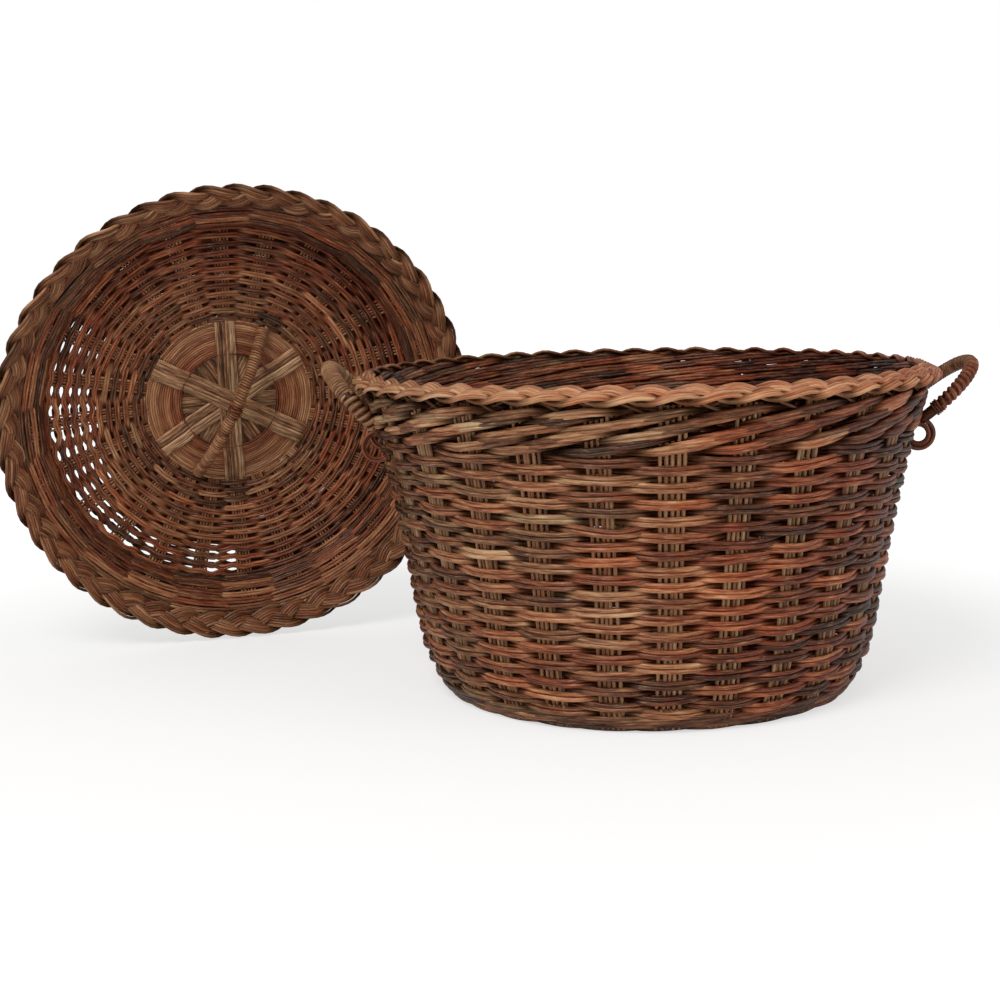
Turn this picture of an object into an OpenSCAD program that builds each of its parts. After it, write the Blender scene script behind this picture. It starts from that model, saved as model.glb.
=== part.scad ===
// Round two-handled cane basket with a loose dished lid.
// Millimetres. The basket stands on Z = 0 with its centre on the Z axis; +X is its right-hand handle.
// The lid stands on edge behind the basket's left side, leaning forward against the plaited rim.

/* [Basket wall] */
// Height of the basket from the floor to the top of the plaited rim
basket_h = 308; // [290:1:330]
// Diameter over the plaited rim
rim_d = 560; // [552:1:580]
// Outer diameter of the wall where the waling ends
mouth_d = 532; // [524:1:538]
// Outer diameter of the wall where the waling starts
throat_d = 519; // [508:1:522]
// Outer diameter of the wall at the shoulder
shoulder_d = 498; // [480:1:506]
// Height of the shoulder
shoulder_z = 216; // [190:1:235]
// Outer diameter of the wall at the belly
belly_d = 470; // [455:1:484]
// Height of the belly
belly_z = 141; // [110:1:170]
// Outer diameter of the wall at the knee
knee_d = 440; // [425:1:452]
// Height of the knee
knee_z = 50; // [35:1:80]
// Thickness of the woven wall
wall_t = 11; // [10:0.5:14]

// How far the strokes of the weave stand out over the recesses between them
stroke_out = 2.4; // [1:0.2:2.6]
// Number of rows of strokes that stand out, each for three or four rows of canes
stroke_rows = 8; // [6:1:12]
// Share of the room round the wall that one stroke takes
stroke_share = 0.62; // [0.5:0.02:0.8]

/* [Stakes] */
// Number of upright stake bundles round the wall
stake_n = 26; // [20:2:30]
// Turn of the first stake bundle from the front
stake_turn = 0.5; // [0:0.5:13]
// Width of one stake bundle round the wall
stake_w = 24; // [16:1:30]
// Thickness of the stakes inside the weave
stake_t = 4; // [3:0.5:5]
// Clearance between a stake and the weave round it
stake_gap = 0.2; // [0.1:0.05:0.3]

/* [Rim] */
// Height of the plaited rim
rim_h = 14; // [10:1:20]
// Width of the plaited rim across its strands
rim_w = 24; // [20:1:30]
// Height of the open gap under the rim
gap_h = 8; // [5:1:12]
// Height of the waling band
waling_h = 27; // [20:1:36]
// How far the waling stands out of the wall
waling_out = 1; // [0.5:0.5:3]
// Diameter of the canes that cross in the open gap
cross_d = 3; // [2:0.5:4]

/* [Base] */
// Outer diameter of the foot ring where it meets the wall
foot_d = 411; // [395:1:424]
// Height of the foot ring
foot_h = 16; // [14:1:22]
// Width of the foot ring
foot_w = 19; // [17:1:28]
// Diameter of the hub of the base
base_hub_d = 150; // [120:1:200]

/* [Hubs] */
// Thickness of one layer of flat split canes
split_t = 4; // [3:0.5:5]
// Width of one arm of split canes
arm_w = 22; // [16:1:26]
// Width of the fine winding round a hub
winding_w = 39; // [20:1:44]

/* [Side handles] */
// Radius of the arch of a side handle, at its middle line
arch_r = 58; // [50:1:64]
// Outward tilt of the arch from upright
arch_tilt = 44; // [35:1:55]
// Height of the handle roots
root_z = 262; // [258:1:268]
// Gap from the wall to the handle roots
root_out = 7; // [5:1:10]
// Diameter of a wrapped handle
grip_d = 17; // [14:0.5:20]
// Diameter of the core inside the wrapping
core_d = 11; // [9:0.5:12]
// Clearance of the core in its wrapping and in the wall
core_gap = 0.2; // [0.1:0.05:0.3]
// Depth of a handle's core in the wall
core_depth = 7; // [4:0.5:8]
// Turn of the left handle towards the front
left_turn = 12; // [0:1:16]
// Diameter of the bare canes below a handle root
tail_d = 3.2; // [2.5:0.1:4.5]
// Radius of the bow of those canes
tail_r = 11; // [9:0.5:13]

/* [Lid] */
// Diameter over the lid's plaited edge
lid_d = 504; // [490:1:508]
// Diameter of the lid's hub
lid_hub_d = 183; // [170:1:200]
// Diameter of the lid's floor where its wall starts
lid_floor_d = 398; // [380:1:404]
// Rise of the lid's floor from hub to wall
lid_floor_rise = 24; // [15:1:30]
// Thickness of the lid's woven floor
lid_floor_t = 10; // [9:0.5:12]
// Height of the lid's short wall
lid_wall_h = 20; // [16:1:26]
// Thickness of the lid's short wall
lid_wall_t = 8; // [6:0.5:9]
// Outward slope of the lid's short wall from upright
lid_wall_slope = 16; // [10:1:20]
// Rise of the lid's plaited edge above its wall
plait_rise = 41; // [36:1:46]
// Thickness of the lid's plaited edge
plait_t = 17; // [14:0.5:20]
// Number of scallops round the lid's plaited edge
scallop_n = 48; // [36:12:60]
// Depth of the hollows between the scallops
scallop_deep = 4.5; // [2:0.5:5]
// Number of stake groups in the lid
lid_stake_n = 24; // [18:1:30]
// Width of a stake group where it leaves the hub
lid_stake_w = 13; // [10:1:16]
// Turn of the lid's upper arms from its level line
lid_arm_turn = 33; // [0:1:60]

/* [Lid handle] */
// Distance of the bow handle's ends inside the edge of the hub
bow_inset = 13.5; // [12:0.5:24]
// Height of the bow handle's middle line above the hub
bow_h = 40; // [34:1:50]
// Turn of the bow handle from the lid's level line
bow_turn = 65; // [0:1:90]
// Depth of the bow handle's core in the lid
bow_depth = 4; // [3:0.5:5]
// Diameter of the knot round the middle of the bow
knot_d = 22; // [20:0.5:26]
// Length of the knot along the bow
knot_l = 20; // [12:1:30]

/* [Where the lid stands] */
// Lid centre to the left of the basket's axis
lid_left = 436; // [425:1:460]
// Turn of the lid's face towards the basket
lid_yaw = 16.7; // [12:0.1:20]
// Forward lean of the lid's top
lid_lean = 11.6; // [8:0.1:13]
// Gap between the lid's edge and the rim it leans on
lean_gap = 0.5; // [0.4:0.1:1]

/* [Hidden] */
$fn = 96;
eps = 0.01;
past = 5;                                   // how far a cut runs past what it cuts

rim_bottom = basket_h - rim_h;
waling_top = rim_bottom - gap_h;
waling_z = waling_top - waling_h;
wall_line = [[foot_h, foot_d / 2], [knee_z, knee_d / 2], [belly_z, belly_d / 2],
             [shoulder_z, shoulder_d / 2], [waling_z, throat_d / 2], [waling_top, mouth_d / 2]];
weave_line = [for (i = [0:4]) wall_line[i]];
waling_line = [for (i = [4:5]) wall_line[i]];
stake_near = (wall_t - stake_t) / 2;        // from the wall's outside to the outside of the stakes
stake_far = (wall_t + stake_t) / 2;         // from the wall's outside to the inside of the stakes
stake_deg = arc_deg(stake_w, belly_d / 2);
foot_in = foot_d / 2 - foot_w;
base_t = 3 * split_t;
// Outer edge of the plaited rim, as heights and radii.
rim_line = [[rim_bottom, rim_d / 2 - 7], [rim_bottom + 0.45 * rim_h, rim_d / 2],
            [rim_bottom + 0.7 * rim_h, rim_d / 2 - 1], [basket_h, rim_d / 2 - 7]];
cross_n = 2 * stake_n;
cross_r = (mouth_d - wall_t) / 2;
cross_lean = 50;                            // lean of the crossing canes from upright

wall_lean = atan((throat_d - shoulder_d) / 2 / (waling_z - shoulder_z));
root_x = sqrt(pow(wall_r(root_z) + root_out, 2) - arch_r * arch_r);
to_wall = root_out / (sin(arch_tilt) - cos(arch_tilt) * tan(wall_lean));
leg_deg = asin((to_wall + core_depth) / arch_r);
socket_deg = asin((to_wall + core_depth + core_gap) / arch_r);
root_deg = atan(arch_r / root_x);
tail_z = root_z - to_wall * cos(arch_tilt) - 0.85 * grip_d - tail_r;

floor_front = (lid_floor_t - split_t) / 2;  // from the stakes' face to the face of the lid's floor
floor_back = floor_front - lid_floor_t;
hub_r = lid_hub_d / 2;
wall_foot_w = lid_floor_rise + floor_back;
wall_top_w = lid_floor_rise + lid_wall_h;
front_w = wall_top_w + plait_rise;
lid_r = lid_d / 2;
plait_foot = lid_wall_r(wall_top_w);
// The plaited edge leans outward, so its radii are shares of its width and its heights come from its face.
plait_wide = lid_r - plait_foot;
plait_front = [[plait_foot + 0.34 * plait_wide, front_w - 21], [plait_foot + 0.65 * plait_wide, front_w - 4]];
plait_shift = [0.27 * plait_wide, -0.68 * plait_t];
plait_profile = [[plait_foot + 0.07 * plait_wide, wall_top_w], [plait_foot + 0.2 * plait_wide, wall_top_w],
                 plait_front[0] + plait_shift, plait_front[1] + plait_shift,
                 [lid_r, front_w - 9], [lid_r - 0.13 * plait_wide, front_w],
                 plait_front[1], plait_front[0], [plait_foot + 0.11 * plait_wide, wall_top_w + 6]];

bow_end = hub_r - bow_inset;
bow_r = (bow_end * bow_end + bow_h * bow_h) / (2 * bow_h);
bow_half = asin(bow_end / bow_r);
bow_deg = bow_half + bow_depth / bow_r * 180 / PI;
bow_socket_deg = bow_half + (bow_depth + core_gap) / bow_r * 180 / PI;
knot_deg = knot_l / bow_r * 180 / PI;

// Shares of the scallops' depth that each point of the profile goes in and down, and how far round it lags.
scallop_in = [0, 0, 0, 0.6, 1, 0.7, 0, 0, 0];
scallop_down = [0, 0, 0, 0, 0, 0.5, 1, 1, 0.4];
scallop_lag = [0, 0, 0, 0, 0, 0, 80, 180, 220];
scallop_step = 360 / scallop_n / 3;
side_part = 0.05;                           // share of a facet's side from one tried point to the next

// The lid stands on the lowest point of its edge and leans on the rim, along the sides of its edge's facets.
lid_up = max([for (a = [-90 - 4 * scallop_step:scallop_step:-90 + 4 * scallop_step]) for (p = plait_at(a))
    p[1] * sin(lid_lean) - p[0] * sin(a) * cos(lid_lean)]);
lid_back = max([for (a = [-60:scallop_step:60])
    let (here = edge_points(a), next = edge_points(a + scallop_step), n = len(here))
    for (i = [0:n - 1]) for (other = [next[i], here[(i + 1) % n], next[(i + n - 1) % n]])
    for (part = [0:side_part:1]) back_needed(here[i] + part * (other - here[i]))]);

stroke_top = min(shoulder_z, tail_z - tail_r - past);
stroke_pitch = (stroke_top - foot_h) / stroke_rows;
stroke_gap = 0.12;                          // share of a row's pitch that is left open at each side

function wall_r(z) = lookup(z, wall_line);
function outer_r(z) = z < rim_bottom ? wall_r(z) + waling_out : lookup(z, rim_line);
function arc_deg(w, r) = 2 * asin(w / 2 / r);
function lid_wall_r(w) = lid_floor_d / 2 + (w - wall_foot_w) * tan(lid_wall_slope);
// A line of [height, radius] points with both ends run past on the slopes that they have.
function run_past(line) = let (
    n = len(line),
    first = (line[1] - line[0]) / (line[1][0] - line[0][0]),
    last = (line[n - 1] - line[n - 2]) / (line[n - 1][0] - line[n - 2][0])
) concat([line[0] - past * first], [for (i = [1:1:n - 2]) line[i]], [line[n - 1] + past * last]);
// The plaited edge's profile at bearing a, with its scallops.
function plait_at(a) = [for (i = [0:len(plait_profile) - 1]) plait_profile[i]
    - scallop_deep * [scallop_in[i] * scallop(a, 0), scallop_down[i] * scallop(a, scallop_lag[i])]];
function scallop(a, lag) = (1 - cos(scallop_n * a + lag)) / 2;
// Outline of a wall between two depths behind a line of [height, radius] points.
function behind(line, from, to) = concat(
    [for (p = line) [p[1] - from, p[0]]],
    [for (i = [len(line) - 1:-1:0]) [line[i][1] - to, line[i][0]]]);
// Point of the lid's edge at bearing a in the lid, with the lid's centre on the basket's X line.
function edge_point(p, a) = let (
    side = p[0] * cos(a),
    rise = p[0] * sin(a),
    ahead = p[1] * cos(lid_lean) + rise * sin(lid_lean)
) [-lid_left + side * cos(lid_yaw) + ahead * sin(lid_yaw),
   side * sin(lid_yaw) - ahead * cos(lid_yaw),
   lid_up + rise * cos(lid_lean) - p[1] * sin(lid_lean)];
function edge_points(a) = [for (p = plait_at(a)) edge_point(p, a)];
// How far back a point has to go to clear the basket.
function back_needed(q) = q[2] > basket_h || abs(q[0]) > outer_r(q[2]) ? 0
    : sqrt(pow(outer_r(q[2]) + lean_gap, 2) - q[0] * q[0]) - q[1];

module red_brown() { color([0.36, 0.20, 0.14]) children(); }
module tan_brown() { color([0.48, 0.34, 0.24]) children(); }
module grey_brown() { color([0.38, 0.30, 0.25]) children(); }

// Sectors of one outline, each centred on its own bearing.
module sectors(n, deg, turn, outline) {
    for (i = [0:n - 1]) rotate(i * 360 / n - deg / 2 + turn)
        rotate_extrude(angle = deg) polygon(outline);
}

// Straight bars of split cane that cross at the middle, trimmed to the hub's circle.
module arms(hub_d, z, turn) {
    intersection() {
        translate([0, 0, z]) cylinder(d = hub_d, h = split_t);
        for (a = [0:60:120]) rotate(a + turn)
            translate([-hub_d, -arm_w / 2, z - past]) cube([2 * hub_d, arm_w, split_t + 2 * past]);
    }
}

// Fine winding that lies between the two layers of arms.
module winding(hub_d, z) {
    translate([0, 0, z]) difference() {
        cylinder(d = hub_d, h = split_t);
        translate([0, 0, -past]) cylinder(d = hub_d - 2 * winding_w, h = split_t + 2 * past);
    }
}

// The upper arms dip to the lower ones inside the winding.
module hub_middle(hub_d, z) {
    translate([0, 0, z]) cylinder(d = hub_d - 2 * winding_w - 2 * core_gap, h = split_t + eps);
}

// ---- base ----
module base_arms_lower() { grey_brown() arms(base_hub_d, 0, 0); }
module base_arms_upper() {
    grey_brown() union() {
        arms(base_hub_d, 2 * split_t, 30);
        hub_middle(base_hub_d, split_t);
    }
}
module base_winding() { tan_brown() winding(base_hub_d, split_t); }
module base_stake_sectors(extra) {
    base_line = [[base_hub_d / 2 - sign(extra) * past, split_t - extra],
                 [foot_in + sign(extra) * past, split_t - extra],
                 [foot_in + sign(extra) * past, 2 * split_t + extra],
                 [base_hub_d / 2 - sign(extra) * past, 2 * split_t + extra]];
    sectors(stake_n, arc_deg(arm_w / 2 + 2 * extra, base_hub_d / 2), stake_turn - 90, base_line);
}
module base_stakes() { red_brown() base_stake_sectors(0); }
module base_weave() {
    red_brown() difference() {
        cylinder(r = foot_in, h = base_t);
        translate([0, 0, -past]) cylinder(d = base_hub_d, h = base_t + 2 * past);
        base_stake_sectors(stake_gap);
    }
}
module foot_ring() {
    tan_brown() rotate_extrude() polygon([
        [foot_in, 0], [foot_d / 2 - 14, 0], [foot_d / 2 - 4, foot_h - 7],
        [foot_d / 2, foot_h], [foot_in, foot_h]]);
}

// ---- wall ----
module stake_slots(line) {
    sectors(stake_n, stake_deg + arc_deg(2 * stake_gap, belly_d / 2), stake_turn - 90,
            behind(run_past(line), stake_near - stake_gap, stake_far + stake_gap));
}
module side_stakes() {
    grey_brown() difference() {
        sectors(stake_n, stake_deg, stake_turn - 90, behind(wall_line, stake_near, stake_far));
        handle_sockets();
    }
}
// The outer line of one row of strokes.
function stroke_line(row) = [for (side = [stroke_gap, 1 - stroke_gap])
    let (z = foot_h + (row + side) * stroke_pitch) [z, wall_r(z)]];
// The wall lies back below the handles' tails, and strokes stand out over every other stake.
module woven_wall() {
    low_line = concat([for (p = weave_line) if (p[0] < stroke_top) p], [[stroke_top, wall_r(stroke_top)]]);
    top_line = concat([[stroke_top, wall_r(stroke_top)]], [for (p = weave_line) if (p[0] > stroke_top) p]);
    rotate_extrude() polygon(behind(low_line, stroke_out, wall_t));
    rotate_extrude() polygon(behind(top_line, 0, wall_t));
    for (row = [0:stroke_rows - 1])
        sectors(stake_n / 2, 720 / stake_n * stroke_share, stake_turn - 90 + row % 2 * 360 / stake_n,
                behind(stroke_line(row), 0, stroke_out + stake_gap));
}
module side_weave() {
    red_brown() difference() {
        woven_wall();
        stake_slots(weave_line);
        handle_sockets();
    }
}
module upper_waling() {
    tan_brown() difference() {
        rotate_extrude() polygon(behind(waling_line, -waling_out, wall_t));
        stake_slots(waling_line);
        handle_sockets();
    }
}
module border_crossings() {
    grey_brown() for (i = [0:cross_n - 1]) rotate(i * 360 / cross_n) intersection() {
        translate([cross_r - past, -gap_h * 2, waling_top]) cube([2 * past, gap_h * 4, gap_h]);
        for (side = [-1, 1]) translate([cross_r, 0, waling_top + gap_h / 2])
            rotate([side * cross_lean, 0, 0]) cylinder(d = cross_d, h = 4 * gap_h, center = true);
    }
}
module rim_border() {
    rim_in = rim_d / 2 - rim_w;
    tan_brown() rotate_extrude() polygon(concat(
        [for (p = rim_line) [p[1], p[0]]],
        [[rim_in + 5, basket_h], [rim_in, rim_bottom + 0.7 * rim_h],
         [rim_in, rim_bottom + 0.3 * rim_h], [rim_in + 2, rim_bottom]]));
}

// ---- side handles ----
// Everything inside the wall's outer face, for trimming what ends on the wall.
module wall_solid() {
    rotate_extrude() polygon(concat([[0, foot_h]], [for (p = wall_line) [p[1], p[0]]], [[0, waling_top]]));
    rotate_extrude() polygon([[0, waling_z], [throat_d / 2 + waling_out, waling_z],
                              [mouth_d / 2 + waling_out, waling_top], [0, waling_top]]);
}
module at_handle(turn) {
    rotate(turn) translate([root_x, 0, root_z]) rotate([0, arch_tilt, 0]) rotate([0, 0, 90]) rotate([90, 0, 0])
        children();
}
// A cross-section swept along the arch, whose ends run on past the half turn and into the wall.
module along_arch(end_deg) {
    rotate(-end_deg) rotate_extrude(angle = 180 + 2 * end_deg) translate([arch_r, 0]) children();
}
// The cross-section of a handle's wrapping, round its core.
module wrap_section() {
    difference() {
        circle(d = grip_d);
        circle(d = core_d + 2 * core_gap);
    }
}
module handle_sockets() {
    for (turn = [0, 180 + left_turn]) at_handle(turn) along_arch(socket_deg) circle(d = core_d + 2 * core_gap);
}
module handle_core(turn) { red_brown() at_handle(turn) along_arch(leg_deg) circle(d = core_d); }
module handle_wrap(turn) {
    tan_brown() difference() {
        at_handle(turn) along_arch(leg_deg) wrap_section();
        wall_solid();
    }
}
module handle_tails(turn) {
    red_brown() difference() {
        for (side = [-1, 1]) for (pair = [-1, 1])
            rotate(turn + side * root_deg)
                translate([wall_r(tail_z), pair * (tail_d / 2 + stake_gap), tail_z])
                    rotate([90, 0, 0]) rotate(-100) rotate_extrude(angle = 200)
                        translate([tail_r, 0]) circle(d = tail_d);
        wall_solid();
    }
}
module handle_core_right() { handle_core(0); }
module handle_wrap_right() { handle_wrap(0); }
module handle_tails_right() { handle_tails(0); }
module handle_core_left() { handle_core(180 + left_turn); }
module handle_wrap_left() { handle_wrap(180 + left_turn); }
module handle_tails_left() { handle_tails(180 + left_turn); }

// ---- lid ----
// The lid is drawn face up round the Z axis, with its hub's face at zero, and then stood on edge.
module stood() {
    translate([-lid_left, lid_back, lid_up]) rotate([0, 0, lid_yaw]) rotate([90 + lid_lean, 0, 0]) children();
}
module at_bow() { rotate(bow_turn) translate([0, 0, bow_h - bow_r]) rotate([90, 0, 0]) children(); }
// A cross-section swept along the bow, to an angle each side of its top.
module along_bow(deg) {
    rotate(90 - deg) rotate_extrude(angle = 2 * deg) translate([bow_r, 0]) children();
}
module bow_sockets() { at_bow() along_bow(bow_socket_deg) circle(d = core_d + 2 * core_gap); }
// Sectors for the stakes in the lid's floor, which follow its slope.
module lid_stake_sectors(extra) {
    slope = lid_floor_rise / (lid_wall_r(lid_floor_rise) - hub_r);
    from = hub_r - sign(extra) * past;
    to = lid_wall_r(lid_floor_rise) + sign(extra) * past;
    sectors(lid_stake_n, arc_deg(lid_stake_w + 2 * extra, hub_r), lid_arm_turn, [
        [from, (from - hub_r) * slope + extra], [to, (to - hub_r) * slope + extra],
        [to, (to - hub_r) * slope - split_t - extra], [from, (from - hub_r) * slope - split_t - extra]]);
}
module lid_arms_lower() {
    grey_brown() stood() difference() {
        arms(lid_hub_d, -2 * split_t, lid_arm_turn - 30);
        bow_sockets();
    }
}
module lid_arms_upper() {
    grey_brown() stood() difference() {
        union() {
            arms(lid_hub_d, 0, lid_arm_turn);
            hub_middle(lid_hub_d, -split_t);
        }
        bow_sockets();
    }
}
module lid_winding() {
    tan_brown() stood() difference() {
        winding(lid_hub_d, -split_t);
        bow_sockets();
    }
}
module lid_stakes() {
    red_brown() stood() intersection() {
        lid_stake_sectors(0);
        lid_floor_solid();
    }
}
// The whole space of the lid's floor, from its hub to its wall.
module lid_floor_solid() {
    rotate_extrude() polygon([
        [hub_r, floor_front], [lid_wall_r(lid_floor_rise + floor_front), lid_floor_rise + floor_front],
        [lid_wall_r(wall_foot_w), wall_foot_w], [hub_r, floor_back]]);
}
module lid_weave() {
    red_brown() stood() difference() {
        lid_floor_solid();
        lid_stake_sectors(stake_gap);
    }
}
module lid_wall() {
    red_brown() stood() rotate_extrude() polygon([
        [lid_wall_r(wall_foot_w), wall_foot_w], [lid_wall_r(wall_foot_w) + lid_wall_t, wall_foot_w],
        [plait_foot + lid_wall_t, wall_top_w], [plait_foot, wall_top_w]]);
}
module lid_plait() {
    n = len(plait_profile);
    steps = 3 * scallop_n;
    tan_brown() stood() polyhedron(
        points = [for (i = [0:steps - 1]) let (a = i * scallop_step) for (p = plait_at(a))
            [p[0] * cos(a), p[0] * sin(a), p[1]]],
        faces = [for (i = [0:steps - 1]) for (j = [0:n - 1])
            let (here = i * n, next = (i + 1) % steps * n, k = (j + 1) % n)
                for (t = [[here + j, here + k, next + j], [here + k, next + k, next + j]]) t],
        convexity = 4);
}
module lid_handle_core() { red_brown() stood() at_bow() along_bow(bow_deg) circle(d = core_d); }
module lid_handle_wrap() {
    tan_brown() stood() difference() {
        at_bow() along_bow(bow_deg) wrap_section();
        translate([0, 0, -past * 4]) cylinder(r = hub_r, h = past * 4);
        lid_floor_solid();
    }
}
module lid_handle_knot() {
    red_brown() stood() at_bow() along_bow(knot_deg / 2) difference() {
        circle(d = knot_d);
        circle(d = grip_d + 2 * core_gap);
    }
}

base_arms_lower();
base_arms_upper();
base_winding();
base_stakes();
base_weave();
foot_ring();
side_stakes();
side_weave();
upper_waling();
border_crossings();
rim_border();
handle_core_right();
handle_wrap_right();
handle_tails_right();
handle_core_left();
handle_wrap_left();
handle_tails_left();
lid_arms_lower();
lid_arms_upper();
lid_winding();
lid_stakes();
lid_weave();
lid_wall();
lid_plait();
lid_handle_core();
lid_handle_wrap();
lid_handle_knot();
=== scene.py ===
import math
import bpy
import bmesh
import numpy as np
from mathutils import Matrix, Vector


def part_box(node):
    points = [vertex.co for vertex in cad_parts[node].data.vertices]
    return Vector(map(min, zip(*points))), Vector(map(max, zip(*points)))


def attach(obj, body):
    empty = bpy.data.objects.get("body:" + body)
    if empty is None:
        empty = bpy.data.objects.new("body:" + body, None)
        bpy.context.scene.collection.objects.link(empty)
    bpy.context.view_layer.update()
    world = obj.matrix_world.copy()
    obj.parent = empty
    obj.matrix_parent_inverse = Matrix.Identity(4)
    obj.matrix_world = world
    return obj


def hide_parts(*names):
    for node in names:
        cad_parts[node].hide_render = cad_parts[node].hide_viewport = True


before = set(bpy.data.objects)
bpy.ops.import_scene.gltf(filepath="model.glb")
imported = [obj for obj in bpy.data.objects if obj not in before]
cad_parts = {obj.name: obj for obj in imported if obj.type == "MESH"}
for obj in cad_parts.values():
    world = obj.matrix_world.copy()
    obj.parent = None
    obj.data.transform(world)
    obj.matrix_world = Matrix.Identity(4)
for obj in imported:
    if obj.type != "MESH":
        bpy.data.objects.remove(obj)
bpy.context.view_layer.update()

# A round two-handled cane basket, with the loose dished lid that leans on its rim.
# The dictionaries hold millimetres and degrees; a strand turns to metres when it becomes a mesh.
dice = np.random.default_rng(11)
scene = bpy.context.scene
turnAll = 2 * math.pi


def turned(degrees, axis):
    return Matrix.Rotation(math.radians(degrees), 4, axis)


def addObject(name, data):
    thing = bpy.data.objects.new(name, data)
    scene.collection.objects.link(thing)
    return thing


# Found from the outlines of rim, wall and foot in the photo; the place is in metres.
view = {"place": (-0.140, -1.609, 0.418), "down": 8.42, "roll": 1.32, "lens": 60.17, "sensor": 36}


def setCamera():
    data = bpy.data.cameras.new("photoCamera")
    data.lens, data.sensor_width = view["lens"], view["sensor"]
    camera = addObject("photoCamera", data)
    aim = turned(90 - view["down"], "X") @ turned(-view["roll"], "Z")
    camera.matrix_world = Matrix.Translation(view["place"]) @ aim
    scene.camera = camera


setCamera()
print("camera set")


# sRGB hex to the linear colour that a shader takes.
def linear(code):
    parts = [int(code[i:i + 2], 16) / 255 for i in (1, 3, 5)]
    return [c / 12.92 if c <= 0.04045 else ((c + 0.055) / 1.055) ** 2.4 for c in parts] + [1]


# A socket is linked and anything else is set.
def feed(tree, node, inputs):
    for name, value in dict(inputs).items():
        if isinstance(value, bpy.types.NodeSocket):
            tree.links.new(value, node.inputs[name])
        else:
            node.inputs[name].default_value = value


def addNode(tree, kind, inputs=(), **settings):
    node = tree.nodes.new("ShaderNode" + kind)
    for name, value in settings.items():
        setattr(node, name, value)
    feed(tree, node, inputs)
    return node


def fillRamp(node, stops):
    ramp = node.color_ramp
    while len(ramp.elements) < len(stops):
        ramp.elements.new(1)
    for element, (place, code) in zip(ramp.elements, stops):
        element.position, element.color = place, linear(code)


# Old rattan cane, stained and varnished by hand: a satin skin with long fibres, worn grey and dusty where hands
# and air reach it. Where a strand goes under, painted shade darkens it and takes away its shine.
caneLook = {
    "warm": [(0, "#190502"), (0.25, "#451306"), (0.5, "#80351a"), (0.75, "#b06942"), (1, "#d19b72")],  # varnished
    "grey": [(0, "#1b0d06"), (0.25, "#402717"), (0.5, "#6b4a30"), (0.75, "#9c7956"), (1, "#c2a27c")],  # worn bare
    "dust": "#bd9d80",
    # the dark colour of the painted shade, multiplied in where strands go under
    "shadowing": "#230e07",
    "sheen": "#ffe2c6",         # amber varnish warms its own shine
    "worn": 0.14,               # what a worn patch changes in tone and warmth
    "scuff": (0.56, 0.72),      # noise at which a scratch begins and is full
    "rough": (0.36, 0.66),      # varnished skin, bare fibre
    "ior": 1.5,                 # varnish
    "coat": 0.14,
    "coatRough": 0.22,
    "shine": (0.4, 0.03),       # specular level without painted shade and under full painted shade
    "dull": 0.7,                # painted shade at which nothing shines any more
    "bump": 0.35,
    "fibreDeep": 0.0004,        # metres
    "ownStart": 900,            # each cane begins its grain somewhere in this length
    # Noise cells per millimetre along a cane and per turn round it, then their start, detail and roughness.
    "grain": {
        "fibre": (0.05, 9.0, (0, 0, 0), 4.0, 0.65),         # fibres 20 mm long and 1.5 mm wide
        "patch": (1 / 45, 1.3, (0, 0, 0), 3.0, 0.6),        # worn patches 45 mm long
        "fleck": (0.5, 4.0, (3.1, 1.7, 0), 5.0, 0.7),       # flecks of 2 mm; real pores are too fine to show
        "scratch": (0.07, 13.0, (7.7, 5.2, 0), 3.0, 0.6),   # scratches 14 mm long and 1 mm wide
    },
}


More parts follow.
